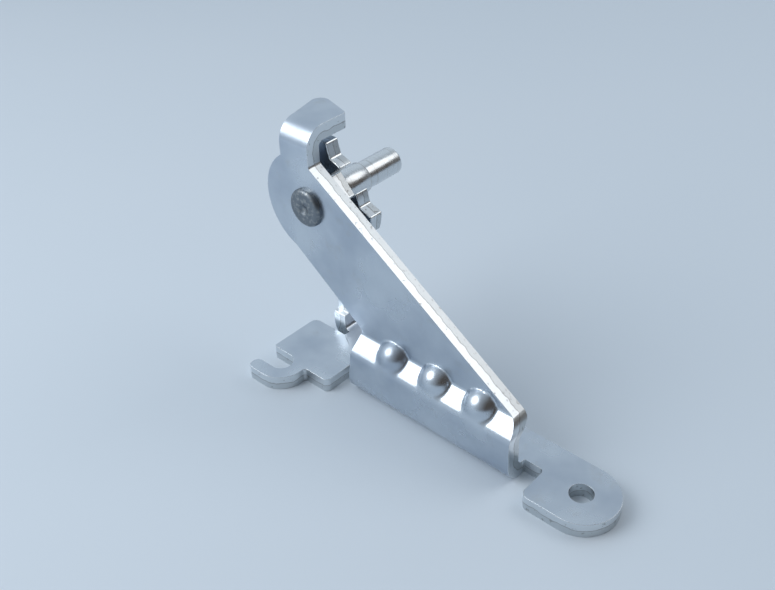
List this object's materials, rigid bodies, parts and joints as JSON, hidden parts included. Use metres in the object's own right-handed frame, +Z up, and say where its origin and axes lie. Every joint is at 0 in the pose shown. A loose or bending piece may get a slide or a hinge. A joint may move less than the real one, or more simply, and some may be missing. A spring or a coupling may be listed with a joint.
{
  "type": "fridge door hinge",
  "caption": "Folded sheet-steel door hinge bracket with a riveted hinge pin, stop plate, screw tab and open hook tab.",
  "frame": {"origin": "axis of the screw hole in the round tab, at the underside of the base", "axes": "+Z up from the base, +X along the fold towards the round tab, +Y back along the free end of the hinge pin"},
  "size_m": [0.1037, 0.0469, 0.0682],
  "materials": {
    "zinc": "bright zinc plate",
    "zinc_turned": "zinc plate over turned steel"
  },
  "bodies": {
    "root": {"bracket": "zinc", "pin": "zinc_turned", "stop_plate": "zinc", "spacer": "zinc_turned"}
  },
  "joints": []
}
